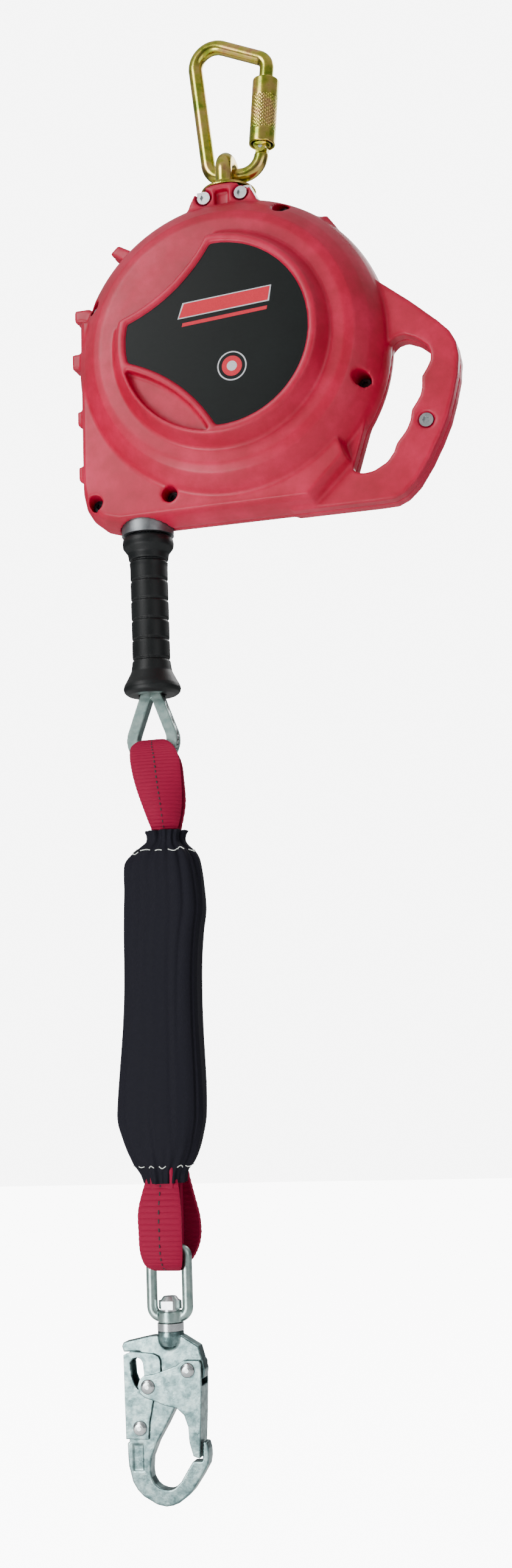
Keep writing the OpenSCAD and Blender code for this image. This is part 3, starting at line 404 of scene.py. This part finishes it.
def strap(name, rows, thick, slot, material, cross=14, length=110, ribs=0):
    """A flat woven strap, lofted through rows of (x, y, z, half width, cup, lean) in millimetres."""
    bm = bmesh.new()
    bmesh.ops.create_grid(bm, x_segments=cross, y_segments=length, size=1, calc_uvs=True)
    for vert in bm.verts:
        u, v = vert.co.x, (vert.co.y + 1) / 2
        rib = RIB_HIGH * abs(math.sin(math.pi * v * ribs)) if ribs else 0
        edge = 1 - 0.6 * max(0, abs(u) - 0.8) / 0.2
        vert.co = strap_point(rows, u, v) + strap_normal(rows, u, v) * rib * edge
    bmesh.ops.recalc_face_normals(bm, faces=bm.faces[:])
    piece = finish_piece(name, bm, slot, None, material)
    wall = piece.modifiers.new("wall", "SOLIDIFY")
    wall.thickness = thick
    wall.offset = 0
    soft = piece.modifiers.new("edge", "BEVEL")
    soft.width = thick * 0.3
    soft.segments = 2
    soft.limit_method = "ANGLE"
    return settle(piece)


def stitches(name, rows, thick, spans, slot, u=0.0):
    """A row of dashes sewn along a strap's outer face."""
    bm = bmesh.new()
    for start, end in spans:
        made = bmesh.ops.create_grid(bm, x_segments=1, y_segments=3, size=1)
        for vert in made["verts"]:
            v = mix(start, end, (vert.co.y + 1) / 2)
            across = u + vert.co.x * 0.028
            out = strap_normal(rows, across, v)
            vert.co = strap_point(rows, across, v) + out * (thick / 2 + RIB_HIGH)
    piece = finish_piece(name, bm, slot, None, BLACK_THREAD)
    wall = piece.modifiers.new("wall", "SOLIDIFY")
    wall.thickness = 0.0004
    wall.offset = 0
    return settle(piece)


# ---------------------------------------------------------------- CAD finishes
SLOT_OF = {part["node"]: part["material_slot"] for part in frame["record"]["subparts"]}


def dress_cad():
    for name, node in frame["nodes"].items():
        material = DARK_SCREW if name == "case_screws" else FINISH[SLOT_OF[name]]
        node.data.materials.clear()
        node.data.materials.append(material)
        for polygon in node.data.polygons:
            polygon.material_index = 0


# ---------------------------------------------------------------- housing
def build_housing():
    softened("front_shell", "red_housing", "housing", 0.00115, 5, 0.5, 0.42)
    softened("rear_shell", "red_housing", "housing", 0.00115, 5, 0.5, 0.38)


def ink(name, outline, out, material):
    """A thin printed shape on the label; outline points are (x, z) in millimetres from its centre."""
    bm = bmesh.new()
    face = bm.faces.new([bm.verts.new((x * MM, LABEL_Y - out * MM, DRUM_Z + z * MM)) for x, z in outline])
    made = bmesh.ops.extrude_face_region(bm, geom=[face])
    for part in made["geom"]:
        if isinstance(part, bmesh.types.BMVert):
            part.co.y += (out + 0.05) * MM
    bmesh.ops.recalc_face_normals(bm, faces=bm.faces[:])
    finish_piece(name, bm, "black_label", "housing", material, smooth=False)


def circle(x, z, radius, count=48):
    return [(x + radius * math.cos(2 * math.pi * k / count), z + radius * math.sin(2 * math.pi * k / count))
            for k in range(count)]


def build_label_marks():
    """Plain stripes and a target ring stand where printing would be."""
    slant = [(-26, 14.6), (38, 18.6), (40, 28.4), (-22, 24.4)]
    middle = (sum(x for x, _ in slant) / 4, sum(z for _, z in slant) / 4)
    rim = [(x + math.copysign(1.0, x - middle[0]), z + math.copysign(0.8, z - middle[1])) for x, z in slant]
    ink("label_stripe_rim", rim, 0.06, PALE_INK)
    ink("label_stripe", slant, 0.12, RED_INK)
    ink("label_bar", [(-24, 8.0), (37, 12.0), (37.6, 14.6), (-23.4, 10.6)], 0.1, RED_INK)
    for step, (radius, material) in enumerate(((10.5, PALE_INK), (9.5, FINISH["black_label"]),
                                               (7.2, RED_INK), (3.6, PALE_INK))):
        ink("label_ring_" + str(step), circle(11, -25, radius), 0.06 + 0.05 * step, material)


# ---------------------------------------------------------------- shock pack
HX = HANG_X / MM
UPPER_ROWS = [
    (-63.5, 4.0, -598, 7, 0.0, 0), (-63.6, 5.0, -585, 7.5, 0.5, 0), (-63.5, 7.5, -570, 9, 1.0, 0),
    (-62.5, 9.0, -550, 12, 0.5, 0.0), (-65.5, 9.6, -532, 14.5, -0.5, 0), (-67.5, 9.6, -519, 15, -1.2, 0),
    (-68.6, 7.4, -509.5, 11.5, -0.8, 0), (HX, 3.0, -506.6, 7.2, 0, 0), (HX, -2.0, -505.6, 7.0, 0, 0),
    (-68.4, -6.2, -506.4, 10.5, 0.4, 0), (-67.6, -8.8, -510.2, 15.2, 0.6, 0.2),
    (-66.0, -9.9, -517, 17.2, 0.0, 0.8), (-64.4, -10.4, -527, 17.0, -1.6, 1.6),
    (-62.9, -10.6, -538, 15.4, -3.0, 2.6), (-61.4, -10.0, -549, 13.2, -4.0, 3.2),
    (-60.6, -8.6, -560, 10.4, -4.2, 3.0), (-61.2, -5.4, -570, 8.0, -1.2, 1.2),
    (-62.4, -3.6, -583, 7.0, -0.6, 0.5), (-62.8, -3.4, -597, 6.6, -0.5, 0.3)]
LOWER_ROWS = [
    (-70.2, -4.6, -789, 8.0, -0.6, 0.3), (-69.8, -5.6, -800, 9.2, -0.7, 0.2),
    (-70.0, -8.8, -812, 12.4, -1.4, 0.0), (-70.3, -12.4, -826, 14.9, -1.2, 0.0),
    (-70.2, -12.6, -840, 14.9, -1.4, 0.0), (-70.0, -12.0, -852, 14.6, -2.0, 0.0),
    (-69.6, -9.4, -860.5, 12.8, -1.8, 0.0), (HX, -4.4, -864.0, 9.6, -0.4, 0.0),
    (HX, 1.8, -864.4, 8.8, 0.2, 0.0), (-68.2, 7.2, -861.6, 10.6, 0.8, 0.0),
    (-66.4, 10.8, -855, 13.4, 1.4, -0.6), (-64.6, 12.4, -845, 14.8, 1.4, -1.4),
    (-64.2, 12.2, -832, 14.4, 1.2, -2.0), (-66.2, 11.2, -818, 13.0, 1.6, -1.0),
    (-68.0, 9.6, -804, 11.6, 1.6, 0.0), (-68.6, 7.0, -789, 10.5, 1.0, 0.0)]
INNER_ROWS = [
    (HX, -8.6, -792, 8.2, 0, 0), (HX, -8.8, -815, 8.4, 0, 0), (HX, -8.4, -838, 8.4, 0, 0),
    (HX, -7.2, -850, 8.3, 0, 0), (HX, -4.6, -857.6, 8.2, 0, 0), (HX, 0, -859.6, 8.2, 0, 0),
    (HX, 4.6, -857.6, 8.2, 0, 0), (HX, 7.2, -850, 8.3, 0, 0), (HX, 8.4, -838, 8.4, 0, 0),
    (HX, 8.8, -815, 8.4, 0, 0), (HX, 8.6, -792, 8.2, 0, 0)]
STRAP_THICK = 0.0022


def dashes(first, last, count, fill=0.45):
    step = (last - first) / count
    return [(first + i * step, first + (i + fill) * step) for i in range(count)]


def build_straps():
    upper = strap("upper_strap", UPPER_ROWS, STRAP_THICK, "red_webbing", FINISH["red_webbing"],
                  length=8 * STRAP_RIBS, ribs=STRAP_RIBS)
    lower = strap("lower_strap", LOWER_ROWS, STRAP_THICK, "red_webbing", LOWER_WEBBING,
                  length=8 * LOOP_RIBS, ribs=LOOP_RIBS)
    inner = strap("lower_strap_inner", INNER_ROWS, 0.0046, "red_webbing", LOWER_WEBBING)
    upper_sewing = stitches("upper_sewing", UPPER_ROWS, STRAP_THICK, dashes(0.50, 0.88, 20), "dark_plastic")
    lower_sewing = stitches("lower_sewing", LOWER_ROWS, STRAP_THICK, dashes(0.06, 0.47, 15), "dark_plastic")
    for piece in (upper, upper_sewing):
        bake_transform(piece)
    for piece in (lower, inner, lower_sewing):
        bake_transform(piece)
    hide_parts("upper_loop")
    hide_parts("lower_loop")


# rows of (z, middle x, half width, half depth, squareness, fold depth)
COVER_ROWS = [
    (-569.0, -62.2, 14.4, 12.6, 2.2, 0.20), (-572.0, -62.4, 13.2, 11.4, 2.2, 0.17),
    (-576.0, -62.8, 13.6, 10.6, 2.2, 0.13), (-579.5, -63.9, 17.0, 11.2, 2.3, 0.12),
    (-583.0, -64.3, 21.2, 12.6, 2.5, 0.10), (-587.0, -65.0, 24.6, 13.6, 2.7, 0.085),
    (-591.0, -65.3, 26.4, 14.4, 2.9, 0.065), (-598.0, -64.9, 27.3, 15.0, 3.1, 0.045),
    (-608.0, -64.3, 27.8, 15.4, 3.3, 0.026), (-624.0, -64.4, 28.4, 15.4, 3.5, 0.018),
    (-640.0, -66.0, 27.4, 15.2, 3.6, 0.014), (-660.0, -67.2, 26.6, 15.0, 3.6, 0.012),
    (-684.0, -68.0, 26.6, 15.0, 3.6, 0.010), (-708.0, -68.8, 27.6, 15.0, 3.6, 0.010),
    (-740.0, -70.0, 29.8, 15.2, 3.5, 0.012), (-758.0, -70.8, 30.7, 15.2, 3.3, 0.014),
    (-768.0, -71.1, 30.3, 15.0, 3.1, 0.018), (-779.0, -70.7, 27.4, 14.6, 2.9, 0.03),
    (-786.0, -70.5, 25.1, 14.2, 2.7, 0.045), (-792.0, -70.4, 22.4, 13.6, 2.5, 0.07),
    (-796.0, -70.6, 20.0, 13.0, 2.4, 0.09), (-799.5, -70.8, 17.0, 12.2, 2.3, 0.11),
    (-803.0, -70.2, 15.2, 12.6, 2.3, 0.13), (-808.0, -69.6, 13.6, 13.0, 2.3, 0.17)]
FOLDS = ((5, 0.4), (9, 1.9), (14, 4.1), (23, 0.9))
# long soft creases: (angle at the top, lean along the length, width, depth, first v, last v)
CREASES = ((5.62, 0.10, 0.050, 0.050, 0.22, 0.92), (5.36, -0.12, 0.060, 0.036, 0.16, 0.60),
           (4.98, 0.22, 0.070, 0.030, 0.30, 0.95), (4.30, -0.10, 0.080, 0.026, 0.20, 0.55),
           (3.92, 0.16, 0.060, 0.030, 0.55, 0.97), (4.62, 0.05, 0.050, 0.022, 0.62, 0.93),
           (3.62, -0.06, 0.050, 0.030, 0.24, 0.74), (1.30, 0.12, 0.070, 0.034, 0.25, 0.90),
           (1.90, -0.10, 0.070, 0.032, 0.20, 0.85), (0.60, 0.08, 0.050, 0.030, 0.30, 0.80))


def cover_point(angle, v, out=0.0):
    """Point on the cover's skin at an angle about its length, v from 0 at the top to 1."""
    z, x, half, deep, square, fold = along(COVER_ROWS, v)
    c, s = math.cos(angle), math.sin(angle)
    reach = (abs(c) ** square + abs(s) ** square) ** (-1 / square)
    wave = sum(math.sin(k * angle + phase + 3 * v) for k, phase in FOLDS) / len(FOLDS)
    crease = 0.0
    for start, lean, wide, low, first, last in CREASES:
        if first < v < last:
            part = (v - first) / (last - first)
            off = (angle - start - lean * part - 0.02 * math.sin(9 * v + start)) / wide
            crease += low * math.exp(-off * off) * math.sin(math.pi * part) ** 0.7
    slump = 0.006 * math.sin(3 * angle + 11 * v) + 0.005 * math.sin(5 * angle - 17 * v + 1.3)
    size = reach * (1 + fold * wave + slump - crease)
    return Vector((x + (half + out) * size * c, (deep + out) * size * s, z)) * MM


# faces round the cover and along it
COVER_ROUND, COVER_ALONG = 300, 190


def build_cover():
    bm = bmesh.new()
    bmesh.ops.create_grid(bm, x_segments=COVER_ROUND, y_segments=COVER_ALONG, size=1,
                           calc_uvs=True)
    for vert in bm.verts:
        vert.co = cover_point(math.pi * (vert.co.x + 1), (1 - vert.co.y) / 2)
    bmesh.ops.remove_doubles(bm, verts=bm.verts[:], dist=1e-6)
    bmesh.ops.recalc_face_normals(bm, faces=bm.faces[:])
    cover = finish_piece("gathered_cover", bm, "black_fabric", "pack")
    wall = cover.modifiers.new("wall", "SOLIDIFY")
    wall.thickness = 0.0009
    wall.offset = -1
    settle(cover)
    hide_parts("pack_cover")


def thread_run(bm, points, radius):
    """A short round thread through points, with closed ends."""
    for a, b in zip(points, points[1:]):
        middle = (a + b) / 2
        turn = (b - a).to_track_quat("Z", "Y").to_matrix().to_4x4()
        bmesh.ops.create_cone(bm, cap_ends=True, segments=7, radius1=radius, radius2=radius,
                              depth=(b - a).length * 1.15, matrix=Matrix.Translation(middle) @ turn)


STITCH_BENDS = 7
STITCH_RADIUS = 0.00036


def build_cover_sewing():
    """Long white gathering stitches round the cover's two necks."""
    bm = bmesh.new()
    for v, count, long, sag, phase in ((0.172, 15, 0.26, 0.020, 0.2), (0.882, 13, 0.24, 0.018, 1.1)):
        for i in range(count):
            start = 2 * math.pi * (i + 0.18 * math.sin(2.3 * i + phase)) / count
            reach = long * (0.8 + 0.35 * math.sin(1.7 * i + phase) ** 2)
            level = v + 0.006 * math.sin(2.9 * i + phase)
            dip = sag * math.sin(3.7 * i + 2 * phase)
            points = [cover_point(start + reach * k / STITCH_BENDS,
                                  level + dip * math.sin(math.pi * k / STITCH_BENDS), 0.30)
                      for k in range(STITCH_BENDS + 1)]
            thread_run(bm, points, STITCH_RADIUS)
    finish_piece("cover_sewing", bm, "white_plastic", "pack", WHITE_THREAD)


# ---------------------------------------------------------------- metalwork
def build_sleeve():
    """Locking sleeve with a knurled middle band, on the gate's own line."""
    foot = Vector((31.2, 0, -24.6)) * MM
    tilt = math.atan2(8.5, 85.7)
    turn = Matrix.Translation(foot) @ Matrix.Rotation(tilt, 4, "Y")
    low, high, radius = -0.0505, -0.0009, 0.0095
    band_low, band_high = -0.0405, -0.0145
    knurls, lift = 44, 0.00042
    bm = bmesh.new()
    bmesh.ops.create_grid(bm, x_segments=264, y_segments=130, size=1, calc_uvs=True)
    for vert in bm.verts:
        angle = math.pi * (vert.co.x + 1)
        z = mix(low, high, (vert.co.y + 1) / 2)
        turns = angle / (2 * math.pi) * knurls
        rise = z / (2 * math.pi * radius / knurls)
        ridge = max(abs((turns + rise) % 2 - 1), abs((turns - rise) % 2 - 1))
        inside = min(1, max(0, (z - band_low) / 0.0006)) * min(1, max(0, (band_high - z) / 0.0006))
        edge = min(z - low, high - z)
        r = radius - 0.0007 * max(0, 1 - edge / 0.0007) ** 2 - lift * inside * (1 - ridge)
        vert.co = Vector((r * math.cos(angle), r * math.sin(angle), z))
    bmesh.ops.remove_doubles(bm, verts=bm.verts[:], dist=1e-6)
    bmesh.ops.recalc_face_normals(bm, faces=bm.faces[:])
    bmesh.ops.transform(bm, matrix=turn, verts=bm.verts[:])
    piece = finish_piece("knurled_sleeve", bm, "yellow_zinc", "sleeve")
    wall = piece.modifiers.new("wall", "SOLIDIFY")
    wall.thickness = 0.0016
    wall.offset = -1
    settle(piece)
    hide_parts("locking_sleeve")


def build_metalwork():
    softened("carabiner_body", "yellow_zinc", "anchor", 0.0004, 6)
    softened("swivel_eye", "yellow_zinc", "swivel_eye_body", 0.0005, 6)
    softened("hook_body", "grey_zinc", "hook", 0.00045, 5)
    softened("hook_gate", "grey_zinc", "hook_gate_body", 0.00032, 3)
    softened("hook_lever", "grey_zinc", "hook_lever_body", 0.00032, 3)
    bail = softened("swivel_bail", "grey_zinc", "bail", 0.0005, 5)
    thimble = softened("thimble", "grey_zinc", "lifeline", 0.0005, 4)
    for piece in (bail, thimble):
        piece.data.materials[0] = PALE_ZINC
    softened("grip", "black_rubber", "lifeline", 0.0006, 4)


# ---------------------------------------------------------------- stage
def white_paper():
    """Pale paper that looks evenly lit to the camera and adds no light of its own."""
    material, nodes, links, shader = new_material("white_paper")
    shader.inputs["Base Color"].default_value = (0.93, 0.93, 0.93, 1)
    shader.inputs["Roughness"].default_value = 0.95
    shader.inputs["Emission Color"].default_value = (1, 1, 1, 1)
    seen = nodes.new("ShaderNodeLightPath").outputs["Is Camera Ray"]
    links.new(spread(nodes, links, seen, 0.0, 9.0), shader.inputs["Emission Strength"])
    return material


def build_stage():
    bm = bmesh.new()
    bmesh.ops.create_grid(bm, x_segments=1, y_segments=1, size=4)
    mesh = bpy.data.meshes.new("floor")
    bm.to_mesh(mesh)
    bm.free()
    mesh.materials.append(white_paper())
    floor = bpy.data.objects.new("floor", mesh)
    floor.location = (0, 0, CAD_BOX[0][2] - 0.10)
    bpy.context.scene.collection.objects.link(floor)


def area_light(name, place, aim, size, power):
    data = bpy.data.lights.new(name, "AREA")
    data.size = size
    data.energy = power
    lamp = bpy.data.objects.new(name, data)
    lamp.location = place
    lamp.rotation_euler = (Vector(aim) - Vector(place)).to_track_quat("-Z", "Y").to_euler()
    bpy.context.scene.collection.objects.link(lamp)


def build_lights():
    world = bpy.data.worlds.new("studio")
    bpy.context.scene.world = world
    world.use_nodes = True
    nodes, links = world.node_tree.nodes, world.node_tree.links
    sky = nodes["Background"]
    split = nodes.new("ShaderNodeSeparateXYZ")
    links.new(nodes.new("ShaderNodeTexCoord").outputs["Generated"], split.inputs["Vector"])
    height = nodes.new("ShaderNodeMapRange")
    height.inputs["From Min"].default_value = -1.0
    links.new(split.outputs["Z"], height.inputs["Value"])
    stops = [(0.0, (0.30, 0.30, 0.30)), (0.38, (0.10, 0.10, 0.11)), (0.55, (0.16, 0.17, 0.18)),
             (0.80, (0.75, 0.75, 0.75)), (1.0, (1, 1, 1))]
    links.new(ramp(nodes, links, height.outputs["Result"], stops), sky.inputs["Color"])
    sky.inputs["Strength"].default_value = 0.75
    white = nodes.new("ShaderNodeBackground")
    white.inputs["Strength"].default_value = 9.0
    both = nodes.new("ShaderNodeMixShader")
    links.new(nodes.new("ShaderNodeLightPath").outputs["Is Camera Ray"], both.inputs["Fac"])
    links.new(sky.outputs["Background"], both.inputs[1])
    links.new(white.outputs["Background"], both.inputs[2])
    links.new(both.outputs["Shader"], nodes["World Output"].inputs["Surface"])
    area_light("key", (-0.9, -1.3, 0.5), (0, 0, -0.3), 0.7, 20)
    area_light("fill", (1.3, -1.0, -0.3), (0, 0, -0.5), 1.0, 6)
    area_light("low", (-0.6, -1.1, -0.9), (-0.07, 0, -0.82), 0.5, 13)
    area_light("rim", (0.5, 1.2, 0.5), (0, 0, -0.3), 0.8, 12)


def build_camera():
    """Stands in front and a little to the right, and looks slightly up and to the left."""
    place = Vector((0.3234, -1.1755, -0.7185))
    yaw, pitch, roll = (math.radians(v) for v in (15.2, 8.32, 2.126))
    ahead = Vector((-math.sin(yaw) * math.cos(pitch), math.cos(yaw) * math.cos(pitch), math.sin(pitch)))
    right = Vector((math.cos(yaw), math.sin(yaw), 0))
    up = right.cross(ahead)
    across = right * math.cos(roll) - up * math.sin(roll)
    above = right * math.sin(roll) + up * math.cos(roll)
    data = bpy.data.cameras.new("camera")
    data.sensor_fit = "VERTICAL"
    data.sensor_height = 36
    data.lens = 41.02
    data.clip_start = 0.01
    camera = bpy.data.objects.new("camera", data)
    turn = Matrix((across, above, -ahead)).transposed().to_4x4()
    camera.matrix_world = Matrix.Translation(place) @ turn
    bpy.context.scene.collection.objects.link(camera)
    bpy.context.scene.camera = camera


build_camera()
dress_cad()
build_housing()
build_label_marks()
build_metalwork()
build_sleeve()
build_straps()
build_cover()
build_cover_sewing()
build_stage()
build_lights()
